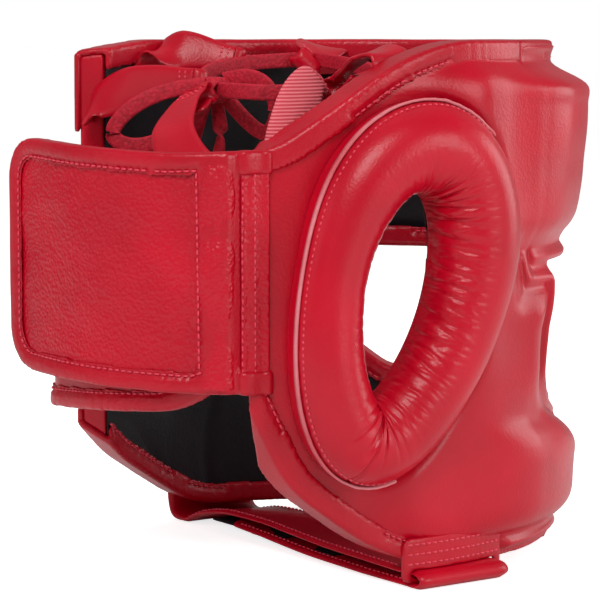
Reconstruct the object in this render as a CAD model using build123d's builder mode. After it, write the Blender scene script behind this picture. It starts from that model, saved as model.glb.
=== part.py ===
"""Boxing headgear: a padded leather guard with stuffed ear rings, a laced crown, a rear flap and a chin strap.

The wearer faces -Y, +X is the wearer's left and +Z is up. The guard stands on its folded chin strap,
with the origin on that surface under its middle. Sizes are in millimetres.
"""

from build123d import *
from functools import partial
from math import atan2, cos, degrees, hypot, radians, sin
import os

os.makedirs("parts", exist_ok=True)

# ---- Driving dimensions ---------------------------------------------------------------------------
half_width = 90  # the shell's outer face in plan is an oval of four arcs: half its width,
half_length = 111.5  # half its length,
end_radius = 78  # the radius of its front and back,
middle_y = 3.5  # and where its middle lies
rim_height = 221
shell = 12  # thickness of the shell: cover, foam and lining
leather = 1.5
lining = 1.5
gap = 0.3  # left between curved faces of separate pieces
bound = 8  # width of the binding along an edge
binding = 1.1  # thickness of the binding's leather
brow_height = 127  # lower edge of the forehead
side_seam = -48  # y where forehead and side meet
flap_root = 124.5  # where the rear flap is sewn to the right side, in degrees from straight ahead
tongue_root = 134.2  # where the tongue is sewn to the left side

ear_middle = (95, 25.5, 123)  # middle of the left ear ring's tube
ear_path = (30.5, 58.5)  # half width and half height of the oval that the tube follows
ear_end_radius = 25  # the radius of its top and bottom
ear_tube = 16.5  # radius of the tube
ear_lean = 15  # degrees that the ring leans forward at its top
ear_turn = 8.5  # degrees that it turns towards the back
ear_hole = (24, 48)  # half width and half height of the hole in the side

strap = 2.4  # thickness of the chin strap's leather
strap_width = 46
strap_y = -7
strap_z = 5.1  # underside of its upper run
strap_tip_x = 46  # free end of its lower run, past which the upper run dips to the ground
lace = 5
tab_leather = 2.4
eye_inside = 6.2  # radius of the eye at a crown tab's tip
eye_width = 7

RIGHT, LEFT = -1, 1
names = {RIGHT: "right", LEFT: "left"}


def write(part, name):
    part.label = name
    export_step(part, f"parts/{name}.step")


# ---- The shell's plan, and pieces cut from walls that follow it -----------------------------------
def side_arc(half_width, half_length, end_radius):
    """Radius of an oval's side arcs, and where their centres and those of its end arcs lie."""
    ends = half_length - end_radius
    longer = half_length - half_width
    sides = longer * (ends - longer / 2) / (ends - longer)
    return half_width + sides, sides, ends


def oval_arcs(half_width, half_length, end_radius):
    """Centre, radius, first angle and extent of the four tangent arcs of an oval, longer along y."""
    radius, sides, ends = side_arc(half_width, half_length, end_radius)
    reach = degrees(atan2(ends, sides))
    middles = [((-sides, 0), radius, 0, reach), ((0, ends), end_radius, 90, 90 - reach)]
    middles += [((sides, 0), radius, 180, reach), ((0, -ends), end_radius, 270, 90 - reach)]
    return [(centre, size, middle - half, 2 * half) for centre, size, middle, half in middles]


def plan(out):
    """The shell's outer face in plan, grown by out."""
    with BuildSketch() as sketch:
        with BuildLine():
            for (x, y), radius, start, extent in oval_arcs(half_width, half_length, end_radius):
                CenterArc((x, middle_y + y), radius + out, start_angle=start, arc_size=extent)
        make_face()
    return sketch.sketch


def height_above(point):
    """How far a point lies out from the shell's outer face."""
    radius, sides, ends = side_arc(half_width, half_length, end_radius)
    x, y = abs(point.X), abs(point.Y - middle_y)
    on_end = y * sides > (x + sides) * ends
    return hypot(x, y - ends) - end_radius if on_end else hypot(x + sides, y) - radius


def on_shell(angle, side=LEFT):
    """The point of the shell's outer face whose normal is this many degrees from straight ahead."""
    radius, sides, ends = side_arc(half_width, half_length, end_radius)
    outwards = Vector(side * sin(radians(angle)), -cos(radians(angle)))
    on_end = abs(cos(radians(angle))) * sides > abs(sin(radians(angle))) * ends
    centre = Vector(0, -ends if angle < 90 else ends) if on_end else Vector(-side * sides, 0)
    return centre + Vector(0, middle_y) + outwards * (end_radius if on_end else radius), outwards


def wall(shape, inner, outer):
    """A closed wall on a shape in plan, between two distances from its face."""
    with BuildPart() as part:
        extrude(shape(outer), amount=rim_height + 10)
        extrude(shape(inner), amount=rim_height + 10, mode=Mode.SUBTRACT)
    return part.part


def outline(corners, inset=0.0):
    """The face inside clockwise corners, each (across, up, radius), taken in by inset all round."""
    points = [Vector(*corner[:2]) for corner in corners]
    moved, radii = [], []
    for i, point in enumerate(points):
        before = (point - points[i - 1]).normalized()
        after = (points[(i + 1) % len(points)] - point).normalized()
        inwards = [Vector(way.Y, -way.X) for way in (before, after)]
        moved.append(point + (inwards[0] + inwards[1]) * inset / (1 + inwards[0].dot(inwards[1])))
        hollow = before.cross(after).Z > 0
        radii.append(corners[i][2] and max(corners[i][2] + (inset if hollow else -inset), 0))
    with BuildSketch() as sketch:
        with BuildLine():
            FilletPolyline(*moved, radius=radii, close=True)
        make_face()
    return sketch.sketch


def slab(face, view, inner, outer, shape=plan):
    """What a face, drawn on a view's plane, cuts from the wall between two distances."""
    plane, reach = view
    with BuildPart() as part:
        with BuildSketch(plane):
            add(face)
        extrude(amount=reach)
        add(wall(shape, inner, outer), mode=Mode.INTERSECT)
    return part.part


def edging(region, inner, outer):
    """Leather binding folded over the edge of a region of wall, which lies between two distances."""
    with BuildPart() as part:
        add(region(0, inner - binding, outer + binding))
        add(region(bound, inner - 5, outer + 5), mode=Mode.SUBTRACT)
        add(region(binding, inner, outer), mode=Mode.SUBTRACT)
    return part.part


side_view = {side: (Plane.YZ, side * 150) for side in names}
front_view = (Plane.XZ, 150)
rear_view = (Plane.XZ, -150)
cheek_turn = radians(50)  # a cheek is drawn as seen from this far to the side of straight ahead
cheek_front = Vector(-sin(cheek_turn), -cos(cheek_turn))
cheek_view = (Plane(origin=(0, -3), x_dir=Vector(0, 0, 1).cross(cheek_front), z_dir=cheek_front), 150)

# ---- Outlines of the two sides ----------------------------------------------------------------------
# Rim, back and bottom as (y, z, radius of the corner), and the cheek's edges as (across, z, radius).
back_edge = {
    RIGHT: [(11, 221, 90), (70, 178.5, 25), (93, 177, 0), (81, 84, 0), (65, 44, 50), (21, 9, 90)],
    LEFT: [(37, 221, 90), (82, 216, 9), (80, 192, 14), (95, 172, 0), (95, 68, 0), (59, 38, 90), (11, 9, 60)],
}
cheek_edge = [(7, 300, 0), (2, 106, 16), (2, 86, 16), (24, 70, 20), (57, 60, 8), (57, 6, 10)]


def side_region(side, inset, inner, outer):
    """A side's wall between two distances, with its outline taken in by inset."""
    corners = [(side_seam, rim_height, 0), *back_edge[side], (-130, 5, 0), (-130, brow_height, 0)]
    corners += [(side_seam, brow_height, 0)]
    front = [(-250, 300, 0), *cheek_edge, (-250, 6, 0)]
    cheek = slab(outline(front, inset), cheek_view, inner, outer)
    if side == LEFT:
        cheek = cheek.mirror(Plane.YZ)
    with BuildPart() as part:
        add(slab(outline(corners, inset), side_view[side], inner, outer))
        add(cheek, mode=Mode.INTERSECT)
    return part.part


def rear_opening(slack=0.0):
    """What the two sides leave open at the back in plan, less some degrees at each end."""
    edges = []
    for angle, side in ((flap_root, RIGHT), (tongue_root, LEFT)):
        point, outwards = on_shell(angle + slack, side)
        edges.append((point - outwards * 25, point + outwards * 25))
    (in_right, out_right), (in_left, out_left) = edges
    with BuildSketch() as sketch:
        with BuildLine():
            Polyline(in_right, out_right, (-40, 200), (80, 200), out_left, in_left, close=True)
        make_face()
    return sketch.sketch


layers = {
    "side_cover": (-leather, 0),
    "side_foam": (-shell + lining, -leather),
    "side_lining": (-shell, -shell + lining),
}
for side, name in names.items():
    for layer, (inner, outer) in layers.items():
        with BuildPart() as piece:
            add(side_region(side, binding, inner, outer))
            with BuildSketch(Plane.YZ):
                with Locations(Location((*ear_middle[1:], 0), (0, 0, ear_lean))):
                    Ellipse(*ear_hole)
            extrude(amount=side * 150, mode=Mode.SUBTRACT)
            extrude(rear_opening(), amount=300, mode=Mode.SUBTRACT)
        write(piece.part, f"{name}_{layer}")
    with BuildPart() as piece:
        add(edging(partial(side_region, side), -shell, 0))
        extrude(rear_opening(), amount=300, mode=Mode.SUBTRACT)
        with Locations((side * 80, side_seam, (brow_height + rim_height) / 2)):
            Box(80, 3 * bound, rim_height - brow_height - 2 * bound, mode=Mode.SUBTRACT)
    write(piece.part, f"{name}_binding")

# ---- Forehead: the shell between the two side seams -------------------------------------------------
forehead = [(-100, rim_height, 0), (100, rim_height, 0), (100, brow_height, 0), (-100, brow_height, 0)]
seam_cut = Pos(0, side_seam + 100 - gap, 150) * Box(300, 200, 200)


def forehead_region(inset, inner, outer):
    return slab(outline(forehead, inset), front_view, inner, outer)


for layer, (inner, outer) in {
    "forehead_cover": (-leather, 0),
    "forehead_foam": (-shell + lining, -leather),
    "forehead_lining": (-shell, -shell + lining),
}.items():
    with BuildPart() as piece:
        add(forehead_region(binding, inner, outer))
        add(seam_cut, mode=Mode.SUBTRACT)
    write(piece.part, layer)
with BuildPart() as piece:
    add(edging(forehead_region, -shell, 0))
    add(seam_cut, mode=Mode.SUBTRACT)
write(piece.part, "forehead_binding")


# ---- Stuffed pads on the outside, over the forehead and from the temples down to the cheeks ---------
def pillow(corners, view, height, round_off, inset=0.0):
    """A pad that stands out from the shell by a height, with its outer edges rounded off."""
    with BuildPart() as part:
        add(slab(outline(corners, inset), view, gap + binding + inset, height - inset))
        rim = part.edges().filter_by(
            lambda edge: abs(height_above(edge @ 0.5) - height + inset) < 0.1 and abs((edge % 0.5).Z) < 0.99
        )
        fillet(rim, round_off - inset)
    return part.part


def stuffed(name, corners, view, height, round_off, mirrored=False):
    """Writes a pad's leather cover and the foam inside it."""
    stuffing = pillow(corners, view, height, round_off, leather)
    with BuildPart() as cover:
        add(pillow(corners, view, height, round_off))
        add(stuffing, mode=Mode.SUBTRACT)
    for part, layer in ((cover.part, "cover"), (stuffing, "foam")):
        write(part.mirror(Plane.YZ) if mirrored else part, f"{name}_{layer}")


forehead_pad = [(-78, 214, 34), (78, 214, 34), (78, 133, 36), (-78, 133, 36)]
stuffed("forehead_pad", forehead_pad, front_view, 19, 14)

cheek_pad = [(-21, 134, 8), (-1, 131, 8), (1, 86, 20), (20, 66, 20), (50, 60, 14), (50, 12, 14)]
cheek_pad += [(-58, 24, 10), (-58, 44, 10), (-40, 52, 20), (-28, 94, 40)]
for side, name in names.items():
    stuffed(f"{name}_cheek_pad", cheek_pad, cheek_view, 14, 7, mirrored=side == LEFT)


# ---- Ear rings: a stuffed leather tube round each ear hole ------------------------------------------
def ear_ring(side, outer, inner=0):
    """The ring's leather tube, or its stuffing, hollowed where it sits on the side."""
    x, y, z = ear_middle
    turn, lean = radians(ear_turn), radians(ear_lean)
    outwards = Vector(side * cos(turn), sin(turn))
    forwards = Vector(side * sin(turn), -cos(turn))
    upwards = Vector(0, 0, 1) * cos(lean) + forwards * sin(lean)
    frame = Plane(origin=(side * x, y, z), x_dir=upwards.cross(outwards), z_dir=outwards)
    side_radius, side_centre, _ = side_arc(half_width, half_length, end_radius)
    with BuildPart() as part:
        for hub, radius, start, extent in oval_arcs(*ear_path, ear_end_radius):
            spoke = Vector(cos(radians(start)), sin(radians(start)))
            middle = frame.from_local_coords(Vector(*hub))
            foot = frame.from_local_coords(Vector(*hub) + spoke * radius)
            with BuildSketch(Plane(origin=foot, x_dir=foot - middle, z_dir=frame.z_dir.cross(foot - middle))):
                Circle(outer)
                if inner:
                    Circle(inner, mode=Mode.SUBTRACT)
            revolve(axis=Axis(middle, frame.z_dir), revolution_arc=extent)
        with Locations((-side * side_centre, middle_y, z)):
            Cylinder(side_radius + binding + gap, rim_height, mode=Mode.SUBTRACT)
    return part.part


for side, name in names.items():
    write(ear_ring(side, ear_tube, ear_tube - leather), f"{name}_ear_ring_cover")
    write(ear_ring(side, ear_tube - leather), f"{name}_ear_ring_stuffing")

# ---- Rear flap, sewn to the right side, and the tongue that it closes over, sewn to the left ---------
root_point, root_normal = on_shell(flap_root, RIGHT)
root_along = Vector(root_normal.Y, -root_normal.X)
flap_bend = root_point + root_along * 50
flap_end, flap_end_y = 38, 121
tongue_point = on_shell(tongue_root, LEFT)[0]
tongue_bend = (30, 114)


def flap_plan(out):
    corners = [(root_point.X, -50, 0), (*tuple(root_point)[:2], 0), (*tuple(flap_bend)[:2], 90)]
    corners += [(flap_end, flap_end_y, 0), (flap_end, -50, 0)]
    return outline(corners, -out)


def tongue_plan(out):
    inside = 1.5
    start, bend = (point - root_normal * inside for point in (root_point, flap_bend))
    past = tongue_point + (tongue_point - Vector(*tongue_bend)).normalized() * 12
    corners = [(start.X, -50, 0), (*tuple(start)[:2], 0), (bend.X, bend.Y - 1, 80), (*tongue_bend, 25)]
    corners += [(*tuple(past)[:2], 0), (past.X, -50, 0)]
    return outline(corners, -out)


flap_left = root_point.X
flap_corners = [(flap_left, 178, 0), (-50, 177, 60), (flap_end, 182, 16), (flap_end, 87, 18), (flap_left, 83, 0)]
hook_corners = [(-48, 168, 6), (26, 170, 6), (26, 96, 6), (-48, 93, 6)]
flap_layers = {
    "flap_hook_panel": (hook_corners, 0, gap, gap + 1.2),
    "flap_lining": (flap_corners, binding, gap + 1.2, gap + 2.4),
    "flap_cover": (flap_corners, binding, gap + 2.4, gap + 4.6),
}
for layer, (corners, inset, inner, outer) in flap_layers.items():
    write(slab(outline(corners, inset), rear_view, inner, outer, flap_plan), layer)


def flap_region(inset, inner, outer):
    return slab(outline(flap_corners, inset), rear_view, inner, outer, flap_plan)


write(edging(flap_region, gap + 1.2, gap + 4.6), "flap_binding")

tongue_corners = [(-57, 166, 20), (tongue_point.X, 174, 0), (tongue_point.X, 68, 0), (-57, 76, 20)]
loop_corners = [(-44, 158, 6), (24, 162, 6), (24, 84, 6), (-44, 84, 6)]


def tongue_region(inset, inner, outer):
    return slab(outline(tongue_corners, inset), rear_view, inner, outer, tongue_plan)


tongue_layers = {
    "tongue_cover": tongue_region(binding, -3.8, -1.2),
    "tongue_loop_panel": slab(outline(loop_corners), rear_view, -1.2, 0, tongue_plan),
    "tongue_binding": edging(tongue_region, -3.8, -1.2),
}
for name, layer in tongue_layers.items():
    with BuildPart() as piece:
        add(layer)
        extrude(rear_opening(slack=0.5), amount=300, mode=Mode.INTERSECT)
    write(piece.part, name)

# ---- Chin strap: sewn to the left side, through the keeper on the right, and folded back ------------
def strap_run(start, end, bottom, top, width=strap_width, round_end=0.0):
    """A level run of strap between two x, with its far end rounded."""
    with BuildPart() as part:
        with BuildSketch(Plane.XY.offset(bottom)) as sketch:
            with Locations(((start + end) / 2, strap_y)):
                Rectangle(abs(end - start), width)
            if round_end:
                fillet(sketch.vertices().group_by(Axis.X)[-1], round_end)
        extrude(amount=top - bottom)
    return part.part


keeper_y = (strap_y - strap_width / 2 - 4, strap_y + strap_width / 2 + 4)
fold_x = -half_width - 5
fold_z = (strap_z + strap) / 2
foot_x = fold_x + 6  # the fold lies on the ground as far as here, where the lower run is hinged
dip = [(strap_tip_x + 18, strap_z + strap / 2), (strap_tip_x + 34, strap / 2)]
patch = [(-23 + strap_y, 21, 4), (23 + strap_y, 21, 4), (23 + strap_y, 0, 0), (-23 + strap_y, 0, 0)]
with BuildPart() as chin_strap:
    with BuildSketch(Plane.XZ.offset(-strap_y)):
        with BuildLine():
            FilletPolyline((fold_x, dip[0][1]), *dip, (half_width + 6, dip[1][1]), radius=10)
        trace(line_width=strap)
    extrude(amount=strap_width / 2, both=True)
    with BuildSketch():
        add(plan(binding + gap + strap))
        with Locations((-half_width, strap_y)):
            Rectangle(half_width, strap_width + 2)
    extrude(amount=30, mode=Mode.INTERSECT)
    add(slab(outline(patch), side_view[LEFT], binding + gap, binding + gap + strap))
    with BuildSketch(Plane.XZ.offset(-strap_y)):
        with Locations((fold_x, fold_z)):
            Circle(fold_z)
            Circle(fold_z - strap, mode=Mode.SUBTRACT)
        with Locations((fold_x + 20, fold_z)):
            Rectangle(40, 20, mode=Mode.SUBTRACT)
        with Locations(((fold_x + foot_x) / 2, strap / 2)):
            Rectangle(foot_x - fold_x, strap)
    extrude(amount=strap_width / 2, both=True)
write(chin_strap.part, "chin_strap")
write(strap_run(4, strap_tip_x + 15, strap_z - 1.2, strap_z, 40), "chin_strap_loop_panel")
write(strap_run(foot_x + gap, strap_tip_x, 0, strap, round_end=14), "strap_end")
write(strap_run(-32, strap_tip_x - 8, strap, strap + 1.1, 38, 10), "strap_end_hook_panel")

keeper_corners = [(keeper_y[0], 21, 4), (keeper_y[1], 21, 4), (keeper_y[1], 2.8, 3), (keeper_y[0], 2.8, 3)]
slot_low, slot_high = strap_z - gap, strap_z + strap + gap
with BuildPart() as strap_keeper:
    add(slab(outline(keeper_corners), side_view[RIGHT], binding + gap, binding + gap + strap))
    with Locations((-half_width, strap_y, (slot_low + slot_high) / 2)):
        Box(20, strap_width + 2 * gap, slot_high - slot_low, mode=Mode.SUBTRACT)
write(strap_keeper.part, "strap_keeper")

# ---- Crown: six leather tabs sewn inside the rim, and the lace through the eyes at their tips --------
# Each tab: side and angle where it is sewn, its eye as (x, y, z), the height of its bend and its width.
tabs = {
    "left_front_tab": (LEFT, 54, (39, -25, 213), 217, 22),
    "left_side_tab": (LEFT, 99, (48, 11, 211), 217, 20),
    "left_rear_tab": (LEFT, 126.5, (28, 41, 206), 205, 22),
    "right_rear_tab": (RIGHT, 123.5, (-30, 49, 200), 178, 20),
    "right_side_tab": (RIGHT, 104, (-44, 21, 202), 200, 24),
    "right_front_tab": (RIGHT, 67, (-30, -17, 208), 217, 22),
}
sewn = 10  # length of a tab that is sewn down below its bend


def crown_tab(side, angle, eye, bend_z, width):
    point, outwards = on_shell(angle, side)
    eye, eye_z = Vector(*eye[:2]), eye[2]
    inwards = (eye - point).normalized()
    skew = abs(outwards.cross(inwards).Z) * width / 2 + width**2 / 8 / (end_radius - shell)
    foot = point - outwards * (shell + binding + 2 * gap + tab_leather / 2 + skew)
    reach = (eye - foot).length
    inwards = (eye - foot).normalized()
    frame = Plane(origin=foot, x_dir=inwards, z_dir=inwards.cross(Vector(0, 0, 1)))
    around = eye_inside + tab_leather
    with BuildPart() as part:
        with BuildSketch(frame):
            with BuildLine():
                FilletPolyline((0, bend_z - sewn), (0, bend_z), (reach - eye_inside, eye_z), radius=6)
            trace(line_width=tab_leather)
        extrude(amount=width / 2, both=True)
        with BuildSketch(frame):
            with Locations((reach, eye_z)):
                Circle(around)
        extrude(amount=eye_width / 2, both=True)
        with BuildSketch(Plane(origin=foot, x_dir=inwards)):
            with BuildLine():
                taper = (reach - around) / 2
                Polyline((-9, width / 2), (taper, width / 2), (reach, eye_width / 2), (reach + 9, eye_width / 2))
                Line((reach + 9, eye_width / 2), (reach + 9, -eye_width / 2))
                Polyline(
                    (reach + 9, -eye_width / 2), (reach, -eye_width / 2), (taper, -width / 2), (-9, -width / 2)
                )
                Line((-9, -width / 2), (-9, width / 2))
            make_face()
        extrude(amount=rim_height + 10, mode=Mode.INTERSECT)
        with BuildSketch(frame):
            with Locations((reach, eye_z)):
                Circle(eye_inside)
        extrude(amount=width, both=True, mode=Mode.SUBTRACT)
    return part.part


for name, tab in tabs.items():
    write(crown_tab(*tab), name)

# The lace runs from the knot through the six eyes and back. The bow hangs from the knot: two loops and
# two tails. Each cord's points are the corners of its run, rounded at the size of an eye or a loop.
knot = (2, 49, 201)


def cord(points, radius):
    """A round cord of straight runs joined by tangent arcs, and its length."""
    with BuildPart() as part:
        with BuildLine() as run:
            FilletPolyline(*points, radius=radius)
        path = run.wire()
        with BuildSketch(Plane(origin=path @ 0, z_dir=path % 0)):
            Circle(lace / 2)
        sweep(path=path)
    return part.part, path.length


# Each cord: its corners, and the radius of its turns.
cords = {
    "crown_lace": (
        [(-1, 50, 201), (-26, 54, 201), (-34, 43, 200), (-45, 21, 202), (-31, -18, 208), (34, -29, 213)]
        + [(43, -22, 213), (49, 11, 211), (29, 42, 206), (5, 50, 202)],
        7,
    ),
    "bow_loop_right": ([(0, 45, 205), (-10, 40, 208), (-21, 35, 202), (-23, 34, 188), (-15, 37, 180), (-2, 45, 197)], 6),
    "bow_loop_left": (
        [(1, 54, 203), (10, 66, 202), (19, 82, 193), (25, 88, 181), (16, 77, 176), (5, 60, 186), (0, 55, 197)],
        6,
    ),
    "lace_tail_right": ([(5, 46, 196), (2, 45, 184), (6, 45, 170), (3, 47, 157)], 15),
    "lace_tail_left": ([(6, 51, 196), (11, 53, 184), (10, 57, 170), (13, 58, 158)], 15),
}
runs = {}
for name, (corners, radius) in cords.items():
    runs[name], length = cord(corners, radius)
    print(f"{name}: {length:.1f} mm long, turns of {radius} mm, {runs[name].volume:.0f} mm3")
    write(runs[name], name)
with BuildPart() as lace_knot:
    with BuildSketch(Plane(origin=(knot[0], knot[1], knot[2] - 5.5))):
        Rectangle(15, 12)
    extrude(amount=11)
    fillet(lace_knot.edges(), 4)
    for run in runs.values():
        add(run, mode=Mode.SUBTRACT)
write(lace_knot.part, "lace_knot")
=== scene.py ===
import math

import bmesh
import bpy
from mathutils import Matrix, Vector, kdtree, noise
from mathutils.bvhtree import BVHTree


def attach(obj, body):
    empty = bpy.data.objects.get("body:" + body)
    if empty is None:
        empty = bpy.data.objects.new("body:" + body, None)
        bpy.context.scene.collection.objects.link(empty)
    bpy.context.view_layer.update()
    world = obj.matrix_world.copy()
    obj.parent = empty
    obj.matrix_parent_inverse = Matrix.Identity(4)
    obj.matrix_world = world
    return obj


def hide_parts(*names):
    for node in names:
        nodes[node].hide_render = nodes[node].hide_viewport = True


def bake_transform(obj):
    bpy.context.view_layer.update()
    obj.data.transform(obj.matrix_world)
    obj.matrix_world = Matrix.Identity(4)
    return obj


mm = 0.001
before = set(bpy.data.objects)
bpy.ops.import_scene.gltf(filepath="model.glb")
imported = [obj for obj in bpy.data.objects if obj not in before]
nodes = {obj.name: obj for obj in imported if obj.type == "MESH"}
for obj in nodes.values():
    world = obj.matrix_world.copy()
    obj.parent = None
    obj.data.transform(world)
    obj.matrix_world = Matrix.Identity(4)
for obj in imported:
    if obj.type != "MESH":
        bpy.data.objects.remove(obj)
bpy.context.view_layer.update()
print("frame loaded")

# the camera stands behind the wearer's right shoulder, with a long lens
cameraPlace = {"aim": (3.0, 4.3, 109.3), "azimuth": 235, "elevation": 6, "distance": 1100, "lens": 151.8}


def makeCamera(place):
    azimuth, elevation = math.radians(place["azimuth"]), math.radians(place["elevation"])
    level = math.cos(elevation)
    back = Vector((math.sin(azimuth) * level, -math.cos(azimuth) * level, math.sin(elevation)))
    camera = bpy.data.objects.new("camera", bpy.data.cameras.new("camera"))
    camera.data.lens = place["lens"]
    camera.data.clip_start = 0.05
    camera.location = (Vector(place["aim"]) + back * place["distance"]) * mm
    camera.rotation_euler = back.to_track_quat("Z", "Y").to_euler()
    bpy.context.collection.objects.link(camera)
    bpy.context.scene.camera = camera


makeCamera(cameraPlace)


def linear(hexColour):
    parts = [int(hexColour[i:i + 2], 16) / 255 for i in (1, 3, 5)]
    return [c / 12.92 if c <= 0.04045 else ((c + 0.055) / 1.055) ** 2.4 for c in parts] + [1]


def smooth(low, high, x):
    # 0 up to low, 1 from high on, and a soft step between them
    t = min(max((x - low) / (high - low), 0), 1)
    return t * t * (3 - 2 * t)


def hump(centre, width, x):
    return math.exp(-((x - centre) / width) ** 2)


def along(table, x):
    # reads a smooth curve through the given points of a table of pairs
    k = next((i for i in range(1, len(table) - 1) if x <= table[i][0]), len(table) - 1)
    (x0, y0), (x1, y1) = table[k - 1], table[k]
    before, after = table[max(k - 2, 0)], table[min(k + 1, len(table) - 1)]
    t = min(max((x - x0) / (x1 - x0), 0), 1)
    rise0 = (y1 - before[1]) / (x1 - before[0]) * (x1 - x0)
    rise1 = (after[1] - y0) / (after[0] - x0) * (x1 - x0)
    return (y0 * (1 + 2 * t) * (1 - t) ** 2 + rise0 * t * (1 - t) ** 2
            + y1 * t * t * (3 - 2 * t) - rise1 * t * t * (1 - t))


def ripple(*at):
    return noise.noise(Vector(at))


def crease(*at):
    # 1 in a fold's sharp valley, 0 on its rounded back
    return 1 - min(abs(noise.noise(Vector(at))) * 2.6, 1)


def addNode(tree, kind, links=(), **settings):
    node = tree.nodes.new("ShaderNode" + kind)
    for key, value in settings.items():
        if hasattr(node, key):
            setattr(node, key, value)
        else:
            name = key.replace("_", " ").lower()
            next(s for s in node.inputs if s.name.lower() == name and s.enabled).default_value = value
    for source, target in links:
        found = [s for s in node.inputs if s.name == target and s.enabled]
        tree.links.new(source, found[0] if found else node.inputs[target])
    return node


def newObject(name, mesh):
    obj = bpy.data.objects.new(name, mesh)
    bpy.context.collection.objects.link(obj)
    return obj


def meshOf(name, bm, shaded=True):
    mesh = bpy.data.meshes.new(name)
    bm.to_mesh(mesh)
    bm.free()
    for face in mesh.polygons:
        face.use_smooth = shaded
    return mesh


def tubeOf(steps, around, placed, closed=False):
    # a flat grid is rolled up into a tube: placed(i, j) says where vertex j of ring i goes
    bm = bmesh.new()
    bmesh.ops.create_grid(bm, x_segments=around, y_segments=steps, size=0.5)
    for vertex in bm.verts:
        x, y, _ = vertex.co
        vertex.co = placed(round((y + 0.5) * steps), round((x + 0.5) * around) % around)
    bmesh.ops.remove_doubles(bm, verts=bm.verts, dist=0.001 * mm)
    if not closed:
        bmesh.ops.holes_fill(bm, edges=[edge for edge in bm.edges if edge.is_boundary])
    bmesh.ops.recalc_face_normals(bm, faces=bm.faces)
    return bm


def copyOf(name, parts):
    bm = bmesh.new()
    for part in parts:
        bm.from_mesh(part if isinstance(part, bpy.types.Mesh) else nodes[part].data)
    bmesh.ops.remove_doubles(bm, verts=bm.verts, dist=0.01 * mm)
    return newObject(name, meshOf(name, bm))


def applied(obj):
    graph = bpy.context.evaluated_depsgraph_get()
    mesh = bpy.data.meshes.new_from_object(obj.evaluated_get(graph))
    obj.modifiers.clear()
    obj.data = mesh
    for face in mesh.polygons:
        face.use_smooth = True
    return obj


def normalsOf(obj):
    return [vertex.normal.copy() for vertex in obj.data.vertices]


def grown(obj, distance):
    move = obj.modifiers.new("grow", "DISPLACE")
    move.mid_level = 0
    move.strength = distance


def relaxed(obj, rounds):
    relax = obj.modifiers.new("relax", "SMOOTH")
    relax.factor = 0.5
    relax.iterations = rounds


def softened(obj, voxel, rounds, grow=0.0):
    # joins what lies within grow of each other into one skin, and rounds its edges off
    if grow:
        grown(obj, grow)
    remesh = obj.modifiers.new("remesh", "REMESH")
    remesh.mode = "VOXEL"
    remesh.voxel_size = voxel
    relaxed(obj, rounds)
    if grow:
        grown(obj, -grow)
    return applied(obj)


def treeOf(*parts):
    bm = bmesh.new()
    for part in parts:
        bm.from_mesh(part if isinstance(part, bpy.types.Mesh) else nodes[part].data)
    tree = BVHTree.FromBMesh(bm)
    bm.free()
    return tree


def finish(obj, material, parts=(), body="guard"):
    obj.data.materials.clear()
    obj.data.materials.append(material)
    if parts:
        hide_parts(*parts)
    if body:
        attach(obj, body)
    return obj


# the shell's plan is an oval of four arcs
plan = {"halfWidth": 90 * mm, "halfLength": 111.5 * mm, "endRadius": 78 * mm, "middleY": 3.5 * mm}
plan["ends"] = plan["halfLength"] - plan["endRadius"]
longer = plan["halfLength"] - plan["halfWidth"]
plan["sides"] = longer * (plan["ends"] - longer / 2) / (plan["ends"] - longer)
plan["sideRadius"] = plan["halfWidth"] + plan["sides"]


def shellPlace(point):
    # how far a point is out from the shell, the way out, and its bearing in degrees from straight ahead
    x, y = point.x, point.y - plan["middleY"]
    if abs(y) * plan["sides"] > (abs(x) + plan["sides"]) * plan["ends"]:
        arm, radius = Vector((x, y - math.copysign(plan["ends"], y), 0)), plan["endRadius"]
    else:
        arm, radius = Vector((x + math.copysign(plan["sides"], x), y, 0)), plan["sideRadius"]
    out = arm.normalized()
    return arm.length - radius, out, math.degrees(math.atan2(abs(out.x), -out.y))


def onShell(bearing, side, z, out=0.0):
    # the point at a bearing in degrees, and the way out there
    turn = math.radians(bearing)
    way = Vector((side * math.sin(turn), -math.cos(turn), 0))
    if abs(way.y) * plan["sides"] > abs(way.x) * plan["ends"]:
        centre, radius = Vector((0, math.copysign(plan["ends"], way.y), 0)), plan["endRadius"]
    else:
        centre, radius = Vector((-side * plan["sides"], 0, 0)), plan["sideRadius"]
    return centre + Vector((0, plan["middleY"], z)) + way * (radius + out), way


# beside the eyes the padded edge stands further forward than a plain oval would: its height, how much of the
# height it takes, how far forward it goes, and from where to where it comes on; start is behind the middle
temple = {"bearing": 35, "start": 5.2, "height": 114, "spread": 30, "shift": 7, "reach": (45, 84),
          "aside": (18, 30)}


def reach(point):
    # how far a point lies towards the nearer temple
    turn = math.radians(temple["bearing"])
    return abs(point.x) * math.sin(turn) - point.y * math.cos(turn) + temple["start"] * mm


def towardsTemple(point):
    turn = math.radians(temple["bearing"])
    return Vector((math.copysign(math.sin(turn), point.x), -math.cos(turn), 0))


def fitToTemples(obj):
    for vertex in obj.data.vertices:
        level = hump(temple["height"], temple["spread"], vertex.co.z / mm)
        share = smooth(*temple["reach"], reach(vertex.co) / mm)
        share *= smooth(*temple["aside"], abs(vertex.co.x) / mm)
        vertex.co += towardsTemple(vertex.co) * temple["shift"] * level * share * mm
    return obj


def newMaterial(name):
    material = bpy.data.materials.new(name)
    material.use_nodes = True
    tree = material.node_tree
    return material, tree, tree.nodes["Principled BSDF"]


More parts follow.
